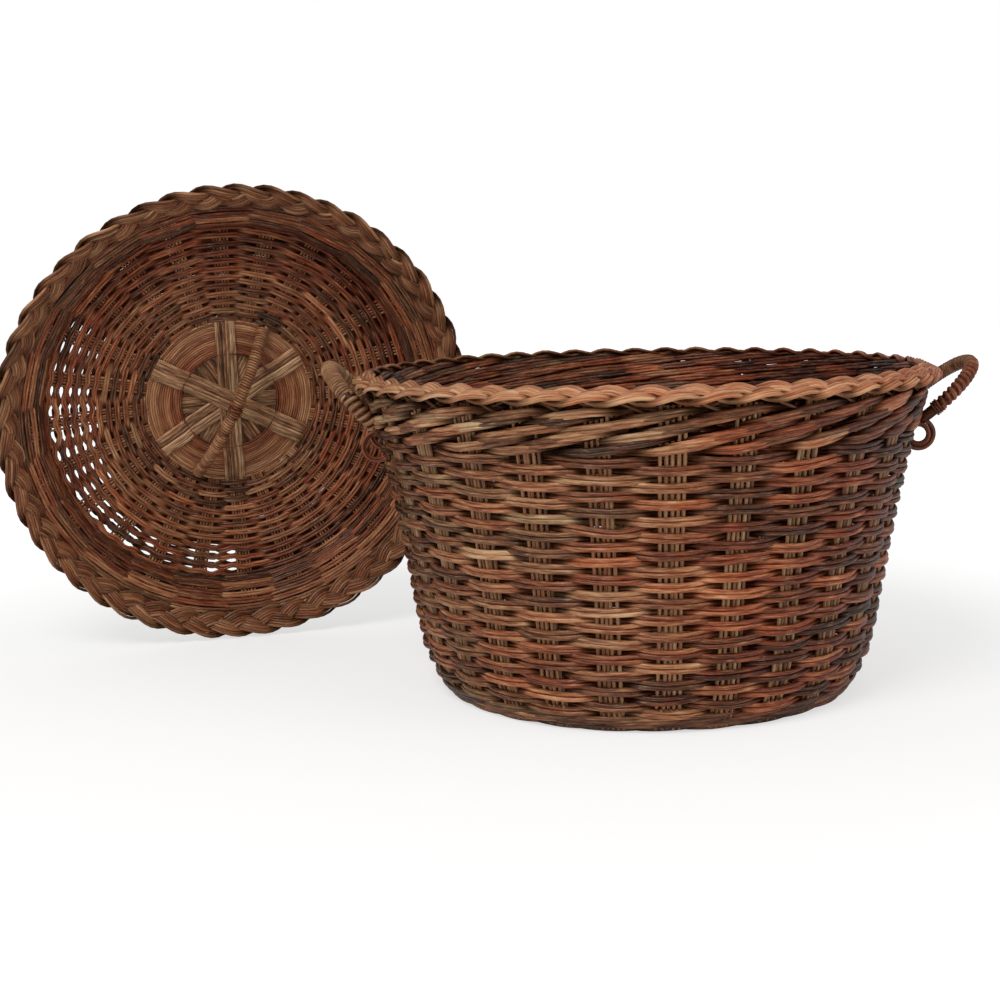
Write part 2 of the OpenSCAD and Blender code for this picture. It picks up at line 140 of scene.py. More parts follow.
def caneMaterial(name, streaks=0.2, dusty=0.35, gloss=0.0):
    material = bpy.data.materials.new(name)
    material.use_nodes = True
    tree = material.node_tree
    shader = tree.nodes["Principled BSDF"]
    along = addNode(tree, "UVMap", uv_map="UVMap").outputs["UV"]
    tone, warmth, paintedShade = [addNode(tree, "Attribute", attribute_name=key).outputs["Fac"]
                           for key in ("tone", "warmth", "paintedShade")]
    noise = {}
    for key, (perLength, perTurn, start, detail, roughness) in caneLook["grain"].items():
        place = addNode(tree, "Mapping", {"Vector": along, "Scale": (perLength, perTurn, 1), "Location": start})
        noise[key] = addNode(tree, "TexNoise", {"Vector": place.outputs[0], "Scale": 1.0, "Detail": detail,
                                                "Roughness": roughness}).outputs["Fac"]
    usual = {"From Min": 0.3, "From Max": 0.7}      # most of a noise's values
    streak = addNode(tree, "MapRange", {"Value": noise["fibre"], **usual, "To Min": -streaks, "To Max": streaks})
    worn = addNode(tree, "MapRange", {"Value": noise["patch"], **usual, "To Min": -caneLook["worn"],
                                      "To Max": caneLook["worn"]})
    streaked = addNode(tree, "Math", {0: tone, 1: streak.outputs[0]}, operation="ADD")
    shade = addNode(tree, "Math", {0: streaked.outputs[0], 1: worn.outputs[0]}, operation="ADD", use_clamp=True)
    warm = addNode(tree, "ValToRGB", {"Fac": shade.outputs[0]})
    fillRamp(warm, caneLook["warm"])
    grey = addNode(tree, "ValToRGB", {"Fac": shade.outputs[0]})
    fillRamp(grey, caneLook["grey"])
    varnish = addNode(tree, "Math", {0: warmth, 1: worn.outputs[0]}, operation="SUBTRACT", use_clamp=True)
    # Inputs 6 and 7 of a Mix node are its two colours, and output 2 is the colour it gives.
    body = addNode(tree, "Mix", {"Factor": varnish.outputs[0], 6: grey.outputs["Color"], 7: warm.outputs["Color"]},
                   data_type="RGBA")
    # Pale scratches and dust in thin lines along the cane.
    scuff = addNode(tree, "MapRange", {"Value": noise["scratch"], "From Min": caneLook["scuff"][0],
                                       "From Max": caneLook["scuff"][1], "To Min": 0.0, "To Max": dusty})
    pale = addNode(tree, "Mix", {"Factor": scuff.outputs[0], 6: body.outputs[2], 7: linear(caneLook["dust"])},
                   data_type="RGBA")
    # Painted shade where the strands go under: a dark colour multiplied in.
    shadowing = addNode(tree, "Mix", {"Factor": paintedShade, 6: pale.outputs[2], 7: linear(caneLook["shadowing"])},
                   data_type="RGBA", blend_type="MULTIPLY")
    rough = addNode(tree, "MapRange", {"Value": noise["fleck"], **usual, "To Min": caneLook["rough"][0] - gloss,
                                       "To Max": caneLook["rough"][1] - gloss})
    # Painted shade also takes away the coat and lowers the specular shine.
    coat = addNode(tree, "MapRange", {"Value": paintedShade, "From Max": caneLook["dull"], "To Min": caneLook["coat"],
                                      "To Max": 0.0})
    shine = addNode(tree, "MapRange", {"Value": paintedShade, "From Max": caneLook["dull"],
                                       "To Min": caneLook["shine"][0], "To Max": caneLook["shine"][1]})
    height = addNode(tree, "Math", {0: noise["fibre"], 1: noise["fleck"]}, operation="ADD")
    bump = addNode(tree, "Bump", {"Height": height.outputs[0], "Strength": caneLook["bump"],
                                  "Distance": caneLook["fibreDeep"]})
    feed(tree, shader, {"Base Color": shadowing.outputs[2], "Roughness": rough.outputs[0], "IOR": caneLook["ior"],
                        "Specular Tint": linear(caneLook["sheen"]), "Specular IOR Level": shine.outputs[0],
                        "Coat Weight": coat.outputs[0], "Coat Roughness": caneLook["coatRough"],
                        "Normal": bump.outputs[0]})
    return material


finishes = {
    # Core split flat with a knife: open fibres, so strong streaks, caught dust and little shine.
    "split_cane": caneMaterial("splitCaneFlats", streaks=0.42, dusty=0.7),
    # Thin core drawn through a die: fine and even.
    "fine_winding": caneMaterial("fineWindingCane"),
    # Round core, soaked and bent upright: plain, and mostly in the shade of the weave.
    "stake_cane": caneMaterial("stakeCane"),
    # Whole cane woven damp and varnished over: the glossiest, with scratched and dusty fronts.
    "weaver_cane": caneMaterial("weaverCane", streaks=0.32, dusty=0.6, gloss=0.06),
    # Whole cane in the thick bands that get knocked: scuffed along its fibres.
    "waling_cane": caneMaterial("walingCane", streaks=0.28, dusty=0.5),
    # Thin whole cane plaited by hand: an even satin.
    "plaited_cane": caneMaterial("plaitedCane"),
    # Peeled cane skin wound tight: smooth, rubbed by hands.
    "wrapping_cane": caneMaterial("wrappingCane"),
    # Thick whole cane bent with steam: smooth and dark with varnish.
    "handle_core_cane": caneMaterial("handleCoreCane"),
}
print("finishes made")


# A strand is a line of points, with its colour values and thickness at each point.
def strand(points, tone, warmth, paintedShade=0.0, thick=1.0):
    full = np.ones(len(points))
    return {"points": np.asarray(points, float), "tone": full * tone, "warmth": full * warmth, "paintedShade": full * paintedShade,
            "thick": full * thick}


flatShape = [(-1, 0), (-0.82, -0.75), (0, -1), (0.82, -0.75), (1, 0), (0.82, 0.75), (0, 1), (-0.82, 0.75)]


def flatSection(wide, high):
    data = bpy.data.curves.new("caneSection", "CURVE")
    data.dimensions = "2D"
    line = data.splines.new("POLY")
    line.points.add(len(flatShape) - 1)
    for point, (x, y) in zip(line.points, flatShape):
        point.co = (x * wide / 2000, y * high / 2000, 0, 1)
    line.use_cyclic_u = True
    return addObject("caneSection", data)


# One mesh of all the strands, with a ring of so many sides at each point.
def sweepCanes(name, strands, diameter, closed, sides, flat, twist):
    data = bpy.data.curves.new(name, "CURVE")
    data.dimensions, data.twist_mode = "3D", twist
    helpers = [addObject(name + "Sweep", data)]
    if flat:
        helpers.append(flatSection(*flat))
        data.bevel_mode, data.bevel_object = "OBJECT", helpers[1]
    else:
        data.bevel_depth, data.bevel_resolution = diameter / 2000, sides // 2 - 2
    for cane in strands:
        line = data.splines.new("POLY")
        count = len(cane["points"])
        line.points.add(count - 1)
        line.points.foreach_set("co", np.column_stack([cane["points"] / 1000, np.ones(count)]).ravel())
        line.points.foreach_set("radius", cane["thick"])
        line.use_cyclic_u, line.use_smooth = closed, True
    bpy.context.view_layer.update()
    swept = helpers[0].evaluated_get(bpy.context.evaluated_depsgraph_get())
    mesh = bpy.data.meshes.new_from_object(swept)
    mesh.name = name
    for helper in helpers:
        old = helper.data
        bpy.data.objects.remove(helper)
        bpy.data.curves.remove(old)
    return mesh


# The colour values go on each ring. UV counts millimetres along a cane from its own start, and turns round it.
def markCanes(mesh, strands, sides):
    for key in ("tone", "warmth", "paintedShade"):
        mesh.attributes.new(key, "FLOAT", "POINT").data.foreach_set(
            "value", np.repeat(np.concatenate([cane[key] for cane in strands]), sides))
    lengths, walks = [], []
    for cane in strands:
        step = np.linalg.norm(np.diff(cane["points"], axis=0, append=cane["points"][:1]), axis=1)
        walk = np.concatenate([[0], np.cumsum(step)])
        lengths.append(np.full(len(step), walk[-1]))
        walks.append(walk[:-1])
    starts = np.repeat(dice.uniform(0, caneLook["ownStart"], len(strands)), [len(walk) for walk in walks])
    walk, length = np.concatenate(walks), np.concatenate(lengths)
    corners = np.zeros(len(mesh.loops), int)
    mesh.loops.foreach_get("vertex_index", corners)
    ring, side = corners.reshape(-1, 4) // sides, corners.reshape(-1, 4) % sides
    u, v, whole = walk[ring], side / sides, length[ring]
    # A face that closes a ring or a turn counts on, and doesn't run back to zero.
    u = np.where(u.max(1, keepdims=True) - u > whole / 2, u + whole, u) + starts[ring]
    v = np.where(v.max(1, keepdims=True) - v > 0.5, v + 1, v)
    mesh.uv_layers["UVMap"].data.foreach_set("uv", np.stack([u, v], 2).ravel())


# Sweeps every strand as a cane and makes one piece of them all, with closed ends.
def canePiece(name, strands, diameter, slotName, body, nodes=(), closed=False, sides=6, flat=None, frameOf=None,
              twist="MINIMUM"):
    sides = len(flatShape) if flat else sides
    mesh = sweepCanes(name, strands, diameter, closed, sides, flat, twist)
    markCanes(mesh, strands, sides)
    shell = bmesh.new()
    shell.from_mesh(mesh)
    if not closed:
        bmesh.ops.holes_fill(shell, edges=[edge for edge in shell.edges if edge.is_boundary], sides=0)
    bmesh.ops.recalc_face_normals(shell, faces=shell.faces)
    if frameOf:
        bmesh.ops.transform(shell, matrix=frameOf, verts=shell.verts)
    shell.to_mesh(mesh)
    shell.free()
    mesh.polygons.foreach_set("use_smooth", [True] * len(mesh.polygons))
    mesh.materials.clear()
    mesh.materials.append(finishes[slotName])
    piece = addObject(name, mesh)
    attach(piece, body)
    if nodes:
        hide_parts(*nodes)
    print(name, len(mesh.polygons) * 2, "triangles")


# Slow waves round a ring, for the unevenness of hand work.
def waver(angles, size, low=2, high=17):
    waves = range(low, high, 3)
    total = sum(dice.normal() * np.cos(k * angles + dice.uniform(0, turnAll)) for k in waves)
    return size * total / math.sqrt(len(waves))


# One value for each stroke of a ring, changing where the strand is hidden.
def strokes(angles, count, shift, mean, along, each):
    index = np.floor(angles * count / turnAll + shift).astype(int) % count
    slow = waver(np.arange(count) * turnAll / count, along, 1, 5)
    return mean + (slow + dice.normal(0, each, count))[index]


# Where the strokes of row j change on a ring of stakes: halfway behind, between its front strokes.
def strokeShift(stakesOnRing, first, j):
    return -first * stakesOnRing / 2 / turnAll + (0.0 if j % 2 else 0.5)


def onRing(radius, angles, heights):
    return np.column_stack([radius * np.cos(angles), radius * np.sin(angles), heights + 0 * angles])


# A weaver lies flat against a stake bundle and turns quickly beside it.
def flatten(wave, power=0.72):
    return np.sign(wave) * np.abs(wave) ** power


wall = {
    "line": [(-60, 176), (16, 205.5), (50, 220), (141, 235), (216, 249), (259, 259.5), (286, 266), (340, 279)],
    "soften": 33,               # height over which the line's corners are rounded
    "middle": 5.5,              # depth of the stakes behind the line
    "stakes": 26, "turn": -89.5, "rows": 32, "firstRow": 19.6, "pitch": 7.3, "steps": 8, "cane": 4.5,
    "swing": 3.6,               # a weaver goes this far before and behind the stakes
    "smile": 1.0,               # and sags by this in front of them
    "spread": (2.5, 2.05),      # half the distance within a pair, behind and in front
    "thick": (1.12, 1.05, 1.0),     # behind, beside and in front
    # Painted shade where a weaver goes behind a stake, none on its front.
    "shadowingAt": (-1, -0.9, -0.6, -0.12), "shadowing": (0.4, 0.8, 0.8, 0.0), "tone": 0.52,
    # How uneven the work is: of a row, of one stroke, slowly along a cane, or from cane to cane.
    "phase": 0.22, "rowTone": 0.04, "strokeTone": (0.06, 0.09), "strokeWarmth": (0.14, 0.17), "lift": 0.5,
    "strokeLift": 0.6, "slant": 2.2, "out": 0.2, "strokeOut": 0.35, "strokeApart": 0.18, "wobble": 0.15,
    "caneTone": 0.06, "caneThick": 0.05, "thickAlong": 0.02,
}
lineHeights = np.arange(wall["line"][0][0], wall["line"][-1][0] + 1)
softLine = np.interp(lineHeights, *np.array(wall["line"]).T)
softening, softReach = np.hanning(wall["soften"]), wall["soften"] // 2
softLine[softReach:-softReach] = np.convolve(softLine, softening / softening.sum(), "valid")
stakeAngles = math.radians(wall["turn"]) + np.arange(wall["stakes"]) * turnAll / wall["stakes"]


def wallRadius(z):
    return np.interp(z, lineHeights, softLine)


# Painted shade: the wall is darker to the right and darker still at both sides, where less light falls on it. It is
# also warmer to the right and at the foot, and greyer to the left.
sideShadeAndWarmth = {"warm": 0.70, "warmRight": 0.42, "warmTurn": 0.15, "warmUp": -0.0007, "warmFrom": 120,
          "tone": -0.02, "shadeRight": -0.085, "shadeSides": -0.17, "shadeTurn": 0.1}


def wallWarmth(angles, z):
    right = np.cos(angles + sideShadeAndWarmth["warmTurn"])
    return sideShadeAndWarmth["warm"] + sideShadeAndWarmth["warmRight"] * right + sideShadeAndWarmth["warmUp"] * (z - sideShadeAndWarmth["warmFrom"])


# Painted shade by bearing round the wall.
def wallSideShade(angles):
    right = np.cos(angles + sideShadeAndWarmth["shadeTurn"])
    return sideShadeAndWarmth["tone"] + sideShadeAndWarmth["shadeRight"] * right + sideShadeAndWarmth["shadeSides"] * right ** 2


def weaveRows(rows):
    around = wall["stakes"] * wall["steps"]
    angles = np.arange(around) * turnAll / around
    half = wall["stakes"] // 2
    made = []
    for j in rows:
        z = wall["firstRow"] + j * wall["pitch"]
        phase = wall["stakes"] / 2 * (angles - stakeAngles[0]) + math.pi * j + waver(angles, wall["phase"], 3, 16)
        wave = np.cos(phase)        # 1 in front of a stake bundle, -1 behind one
        shift = strokeShift(wall["stakes"], stakeAngles[0], j)
        shown = (1 + wave) / 2
        tone = strokes(angles, half, shift, dice.normal(wall["tone"], wall["rowTone"]), *wall["strokeTone"])
        # the wall's painted side shade
        tone = tone + wallSideShade(angles)
        warmth = strokes(angles, half, shift, 0, *wall["strokeWarmth"]) + wallWarmth(angles, z)
        across = (angles * half / turnAll + shift) % 1 - 0.5
        lift = waver(angles, wall["lift"]) - wall["smile"] * wave
        lift = lift + strokes(angles, half, shift, 0, 0, wall["strokeLift"]) * shown
        lift = lift + strokes(angles, half, shift, 0, 0, wall["slant"]) * across * shown
        out = waver(angles, wall["out"]) + strokes(angles, half, shift, 0, 0, wall["strokeOut"]) * shown
        # painted shade on the parts of the weaver that go behind the stakes
        shadowing = np.interp(wave, wall["shadowingAt"], wall["shadowing"])
        for side in (-1, 1):
            apart = np.interp(wave, (-1, 1), wall["spread"])
            apart = apart + strokes(angles, half, shift, 0, 0, wall["strokeApart"]) * shown
            height = z + lift + apart * side + waver(angles, wall["wobble"], 5, 40)
            radius = wallRadius(z) - wall["middle"] + wall["swing"] * flatten(wave) + out
            radius = radius + waver(angles, wall["wobble"], 5, 40)
            thick = dice.normal(1.0, wall["caneThick"]) * np.interp(wave, (-1, 0, 1), wall["thick"])
            thick = thick + waver(angles, wall["thickAlong"], 5, 30)
            made.append(strand(onRing(radius, angles, height), tone + dice.normal(0, wall["caneTone"]), warmth,
                               shadowing, thick))
    return made


canePiece("wallWeaveLow", weaveRows(range(0, wall["rows"] // 2)), wall["cane"], "weaver_cane", "basket",
          ["side_weave"], closed=True, sides=8, twist="Z_UP")
canePiece("wallWeaveHigh", weaveRows(range(wall["rows"] // 2, wall["rows"])), wall["cane"], "weaver_cane", "basket",
          ["side_weave"], closed=True, sides=8, twist="Z_UP")

# Bundles of round canes stand in the weave; each cane bends a little where weavers press it.
# The stakes carry a little painted shade all along, as they stand behind the weavers.
stakes = {"each": 5, "cane": 3.7, "apart": 4.6, "low": 3, "top": 293, "step": 10.0, "aside": 0.45, "deep": 0.3,
          "press": 0.2, "sway": 0.7, "tone": (0.62, 0.13), "warmth": (0.2, 0.14), "shadowing": 0.08}


def wallStakes():
    made = []
    for middle in stakeAngles:
        for k in range(stakes["each"]):
            z = np.arange(stakes["low"], stakes["top"] + 1, stakes["step"])
            off = (k - (stakes["each"] - 1) / 2) * stakes["apart"] + dice.normal(0, stakes["aside"])
            radius = wallRadius(z) - wall["middle"] + dice.normal(0, stakes["deep"])
            radius = radius + stakes["press"] * np.sin(z / 4 + k)
            off = off + stakes["sway"] * np.sin(z / 45 + dice.uniform(0, 6))
            made.append(strand(onRing(radius, middle + off / radius, z), dice.normal(*stakes["tone"]),
                               dice.normal(*stakes["warmth"]), stakes["shadowing"]))
    return made


canePiece("wallStakes", wallStakes(), stakes["cane"], "stake_cane", "basket", ["side_stakes"])

# What all climbing bands share: how uneven their strokes are, and how much painted shade and how thick from their ends,
# where they go in, to their middle.
climb = {"points": 17, "levelTurn": 0.37, "length": (0.92, 1.08), "turn": 0.02, "lift": 0.5, "tone": 0.14,
         "warmth": 0.24, "out": 0.3, "caneTone": 0.06, "round": 0.75, "pinch": 0.35, "warmAt": 200, "warmLess": 0.66,
         "shadowingAt": (0.0, 0.3, 0.62, 0.88), "shadowing": (0.5, 0.95, 0.75, 0.0), "thick": (0.62, 1.04)}


# Strokes that start inside, come out over two stakes while they climb, and go in again.
def climbing(band, radiusAt):
    made = []
    t = np.linspace(0, 1, climb["points"])
    bulge = np.sin(math.pi * t)
    # painted shade at the stroke ends, where they go in behind the stakes
    shadowing = np.interp(bulge, climb["shadowingAt"], climb["shadowing"])
    thick = climb["thick"][0] + (climb["thick"][1] - climb["thick"][0]) * bulge
    for level in range(band["levels"]):
        for k in range(band["count"]):
            start = stakeAngles[0] + (k + climb["levelTurn"] * level) * turnAll / band["count"]
            span = band["span"] * dice.uniform(*climb["length"])
            angles = start + (t - 0.5) * span * turnAll / band["count"] + dice.normal(0, climb["turn"])
            z = band["low"] + band["pitch"] * (level + 0.5) + (t - 0.5) * band["rise"] + dice.normal(0, climb["lift"])
            z = np.clip(z, *band["between"])
            # with the wall's painted side shade
            tone = dice.normal(band["tone"], climb["tone"]) + wallSideShade(angles)
            warmth = dice.normal(0, climb["warmth"]) + band["warm"] - climb["warmLess"]
            warmth = warmth + wallWarmth(angles, climb["warmAt"])
            for side in range(band["each"]):
                off = (side - (band["each"] - 1) / 2) * band["apart"]
                height = z + off * (climb["pinch"] + (1 - climb["pinch"]) * bulge)
                out = band["outside"] + dice.normal(0, climb["out"])
                radius = radiusAt(height) + band["inside"] + (out - band["inside"]) * bulge ** climb["round"]
                made.append(strand(onRing(radius, angles, height), tone + dice.normal(0, climb["caneTone"]), warmth,
                                   shadowing, thick))
    return made


waling = {"levels": 6, "count": 26, "low": 252.5, "pitch": 6.0, "rise": 13, "span": 1.55, "each": 2, "apart": 3.6,
          "cane": 4.6, "inside": -10, "outside": -0.4, "between": (254, 288), "tone": 0.605, "warm": 0.55}
canePiece("upperWaling", climbing(waling, wallRadius), waling["cane"], "waling_cane", "basket", ["upper_waling"])

foot = {"levels": 3, "count": 26, "low": 1.6, "pitch": 4.6, "rise": 5, "span": 2.6, "each": 2, "apart": 3.2,
        "cane": 4.0, "inside": -13, "outside": -1.8, "between": (4.2, 17), "tone": 0.46, "warm": 0.3,
        "line": ((0, 9, 16), (193.5, 202, 206))}        # heights and radii


def footRadius(z):
    return np.interp(z, *foot["line"])


canePiece("footRing", climbing(foot, footRadius), foot["cane"], "waling_cane", "basket", ["foot_ring"])

# Stake ends cross in the open gap under the rim, one layer before the other, with some painted shade on them.
crossing = {"count": 52, "low": 284, "top": 297, "reach": 15, "cane": 3.2, "radius": 260.5, "layer": 1.4,
            "turn": 0.008, "tone": (0.5, 0.08), "warmth": (0.25, 0.1), "shadowing": 0.2}


def crossings():
    made = []
    t = np.linspace(-1, 1, 5)
    for k in range(crossing["count"]):
        for side in (-1, 1):
            middle = k * turnAll / crossing["count"] + dice.normal(0, crossing["turn"])
            z = (crossing["low"] + crossing["top"]) / 2 + t * (crossing["top"] - crossing["low"]) / 2
            radius = crossing["radius"] - side * crossing["layer"]
            made.append(strand(onRing(radius, middle + side * t * crossing["reach"] / radius, z),
                               dice.normal(*crossing["tone"]), dice.normal(*crossing["warmth"]), crossing["shadowing"]))
    return made


canePiece("gapCrossings", crossings(), crossing["cane"], "stake_cane", "basket", ["border_crossings"])

# Seen from the inside, the same slanted strokes run on up behind the crossings. Their tone is set low as painted shade,
# so the inside looks dark through the gap.
inner = {"levels": 11, "count": 26, "low": 250, "pitch": 4.7, "rise": -10, "span": 1.8, "each": 2, "apart": 3.0,
         "cane": 4.3, "inside": -5.5, "outside": -11.5, "between": (250, 301), "tone": 0.40, "warm": 0.85}
canePiece("innerWaling", climbing(inner, wallRadius), inner["cane"], "waling_cane", "basket")
print("wall done")

# What both plaits share: points in a period, unevenness, and the painted shade where a ply goes under.
plies = {"count": 3, "steps": 16, "phase": 0.02, "width": 0.06, "aside": 0.25, "face": 0.2, "plyTone": 0.04,
         "strokeTone": (0.05, 0.07), "strokeWarmth": (0.1, 0.08), "caneWarmth": 0.06, "caneTone": 0.05, "thick": 0.06,
         "shadowingAt": (-0.9, 0.1), "shadowing": (0.75, 0.0)}


# A flat plait of three plies on a ring; across is its direction over the band and out is the way it faces.
def plait(band):
    made = []
    around = turnAll * band["radius"]
    count = band["periods"] * plies["steps"]
    angles = np.arange(count) * turnAll / count
    for ply in range(plies["count"]):
        phase = band["periods"] * angles + ply * turnAll / plies["count"] + waver(angles, plies["phase"])
        width = band["swing"] * (1 + waver(angles, plies["width"]))
        aside = width * np.sin(phase)
        slope = width * np.cos(phase) * band["periods"] * turnAll / around
        face = band["lift"] * np.sin(2 * phase)
        slant = np.sqrt(1 + slope ** 2)
        # painted shade where the ply goes under
        shadowing = np.interp(face / abs(band["lift"]), plies["shadowingAt"], plies["shadowing"])
        for k in range(band["each"]):
            off = (k - (band["each"] - 1) / 2) * band["apart"]
            hump = band["hump"] * (1 - (2 * off / (band["each"] * band["apart"])) ** 2)
            across = aside + off / slant + waver(angles, plies["aside"], 5, 30)
            out = face + hump + waver(angles, plies["face"], 5, 30)
            radius = band["radius"] + across * band["across"][0] + out * band["out"][0]
            z = band["height"] + across * band["across"][1] + out * band["out"][1]
            tone = strokes(angles, band["periods"] * 2, ply * 2 / 3, dice.normal(band["tone"], plies["plyTone"]),
                           *plies["strokeTone"])
            warmth = strokes(angles, band["periods"], 0, band["warm"], *plies["strokeWarmth"])
            # Warmth swings round the ring; the tone is painted lighter at the front and darker at the back: painted
            # light.
            warmth = warmth + dice.normal(0, plies["caneWarmth"]) + band["warmthAndLightSwing"] * np.cos(angles + 0.6)
            tone = tone + dice.normal(0, plies["caneTone"]) - band["warmthAndLightSwing"] * 0.5 * np.sin(angles)
            made.append(strand(onRing(radius, angles - off * slope / slant / band["radius"], z), tone, warmth, shadowing,
                               dice.normal(1, plies["thick"])))
    return made


rimTilt = math.radians(27)
# The rim's swing also paints its front lighter: painted light.
rim = {"radius": 268, "height": 301, "periods": 16, "swing": 5.4, "lift": -3.0, "each": 5, "apart": 2.7,
       "hump": 1.3, "cane": 3.1, "across": (math.cos(rimTilt), -math.sin(rimTilt)),
       "out": (math.sin(rimTilt), math.cos(rimTilt)), "tone": 0.66, "warm": 0.64, "warmthAndLightSwing": 0.24}
canePiece("rimPlait", plait(rim), rim["cane"], "plaited_cane", "basket", ["rim_border"], closed=True, sides=8,
          twist="Z_UP")
print("rim done")

# What the woven floors of basket and lid share, with the painted shade where a row goes behind a stake and on the
# stakes.
flooring = {"phase": 0.25, "rowTone": 0.05, "strokeTone": (0.07, 0.09), "strokeWarmth": (0.14, 0.14), "drift": 0.3,
            "strokeDrift": 0.3, "wobble": 0.15, "caneTone": 0.06, "caneThick": 0.06, "thick": (1.14, 1.08, 1.0),
            "shadowingAt": (-1, -0.9, -0.5, -0.05), "shadowing": (0.4, 0.8, 0.8, 0.0), "squash": 0.25,
            "stakeAside": 0.2, "stakeLift": 0.15, "stakeTone": (0.60, 0.08), "stakeWarmth": (0.4, 0.12),
            "stakeShadowing": 0.1}


# How far the rows of a worn floor have slipped apart; each lobe has a bearing, a width and the radii it lies in.
def slipped(floor, angles, radius, j):
    most = 0 * angles
    for bearing, width, reach in floor["lobes"]:
        lobe = np.exp(-((angles - math.radians(bearing)) / math.radians(width)) ** 2)
        most = np.maximum(most, lobe * np.interp(radius, reach, (0, 1, 1, 0)))
    return floor["slip"] * most * (1 if j % 2 else -1)


# Rows woven round radial stakes; each ring has a radius, a height and the direction in which its pairs lie.
def floorRows(floor):
    made = []
    count = floor["stakes"] * floor["steps"]
    angles = np.arange(count) * turnAll / count
    turn, half = math.radians(floor["turn"]), floor["stakes"] // 2
    for j, (radius, height, leanR, leanZ) in enumerate(floor["rings"]):
        wave = np.cos(floor["stakes"] / 2 * (angles - turn) + math.pi * j + waver(angles, flooring["phase"], 3, 16))
        bend = flatten(wave) * floor["swing"]
        shift = strokeShift(floor["stakes"], turn, j)
        shown = (1 + wave) / 2
        part = j / len(floor["rings"])
        # Painted shade: darker and redder towards the top of the lid, and lighter towards its bottom.
        paintedTopShade = floor["paintedTopShade"] * np.sin(angles)
        tone = strokes(angles, half, shift, dice.normal(np.interp(part, *floor["tone"]), flooring["rowTone"]),
                       *flooring["strokeTone"]) - paintedTopShade
        warmth = strokes(angles, half, shift, np.interp(part, *floor["warm"]), *flooring["strokeWarmth"]) + 2 * paintedTopShade
        slip = slipped(floor, angles, radius, j) * np.sin(floor["stakes"] * (angles - turn)) ** 2
        drift = waver(angles, flooring["drift"]) + slip
        drift = drift + strokes(angles, half, shift, 0, 0, flooring["strokeDrift"]) * shown
        apart = floor["apart"] - flooring["squash"] * np.abs(slip)
        shadowing = np.interp(wave, flooring["shadowingAt"], flooring["shadowing"])
        for side in range(floor["each"]):
            off = (side - (floor["each"] - 1) / 2) * apart + drift + waver(angles, flooring["wobble"], 5, 40)
            across = radius + off * leanZ - bend * leanR
            z = height + off * leanR + bend * leanZ
            made.append(strand(onRing(across, angles, z), tone + dice.normal(0, flooring["caneTone"]), warmth, shadowing,
                               dice.normal(1, flooring["caneThick"]) * np.interp(wave, (-1, 0, 1), flooring["thick"])))
    return made


# Groups of stakes side by side that run out from the hub and spread.
def radialStakes(floor):
    made = []
    radius, height = np.array(floor["stakePath"], float).T
    for k in range(floor["stakes"]):
        middle = math.radians(floor["turn"]) + k * turnAll / floor["stakes"]
        for m in range(floor["stakeEach"]):
            off = (m - (floor["stakeEach"] - 1) / 2) * np.interp(radius, *floor["stakeApart"])
            off = off + dice.normal(0, flooring["stakeAside"])
            made.append(strand(np.column_stack([
                radius * np.cos(middle) - off * np.sin(middle),
                radius * np.sin(middle) + off * np.cos(middle), height + dice.normal(0, flooring["stakeLift"])]),
                dice.normal(*flooring["stakeTone"]), dice.normal(*flooring["stakeWarmth"]), flooring["stakeShadowing"]))
    return made


# Three bars cross, each over the last, with the canes of a bar a little uneven and painted shade where they go in under
# the winding.
arms = {"bars": 3, "points": 25, "ease": 10, "easeFrom": 2, "stack": 0.5, "stackReach": 22, "ripple": 0.25,
        "lift": 0.12, "bow": 0.3, "tone": (0.57, 0.12), "warmth": (0.22, 0.1), "shadowing": 0.15}


# Bars of flat split canes that cross in the hub; the upper ones dip inside the winding.
def hubArms(hub, turn, height, dip):
    made = []
    for k in range(arms["bars"]):
        angle = math.radians(turn + 180 * k / arms["bars"])
        for m in range(hub["armEach"]):
            off = (m - (hub["armEach"] - 1) / 2) * hub["flat"][2]
            along = np.linspace(-1, 1, arms["points"]) * math.sqrt(hub["radius"] ** 2 - off ** 2)
            far = np.clip((np.abs(along) - hub["inner"] + arms["easeFrom"]) / arms["ease"], 0, 1)
            z = height - dip * (1 - far * far * (3 - 2 * far))
            z = z + (k - 1) * arms["stack"] * np.exp(-(along / arms["stackReach"]) ** 2)
            z = z + arms["ripple"] * np.sin(along / 9 + m) + dice.normal(0, arms["lift"])
            side = off + arms["bow"] * np.sin(along / 30 + dice.uniform(0, 6))
            made.append(strand(np.column_stack([
                along * math.cos(angle) - side * math.sin(angle),
                along * math.sin(angle) + side * math.cos(angle), z]),
                dice.normal(*arms["tone"]), dice.normal(*arms["warmth"]), np.where(far > 0.9, 0.0, arms["shadowing"])))
    return made


# Darker and warmer towards the middle.
winding = {"points": 96, "tone": ((0, 0.35, 1), (0.44, 0.58, 0.70)), "warmth": ((0, 0.5, 1), (0.75, 0.5, 0.4)),
           "ringTone": 0.08, "wobble": 0.15, "toneAlong": 0.04, "warmthAlong": 0.1}


# Fine cane wound ring on ring.
def hubWinding(hub):
    made = []
    angles = np.arange(winding["points"]) * turnAll / winding["points"]
    radii = np.arange(hub["inner"] + hub["fine"] / 2, hub["radius"], hub["fine"])
    for j, radius in enumerate(radii):
        tone = np.interp(j / len(radii), *winding["tone"]) + dice.normal(0, winding["ringTone"])
        warmth = np.interp(j / len(radii), *winding["warmth"])
        out, up = waver(angles, winding["wobble"]), waver(angles, winding["wobble"])
        made.append(strand(onRing(radius + out, angles, hub["height"] + up),
                           tone + waver(angles, winding["toneAlong"]), warmth + waver(angles, winding["warmthAlong"])))
    return made


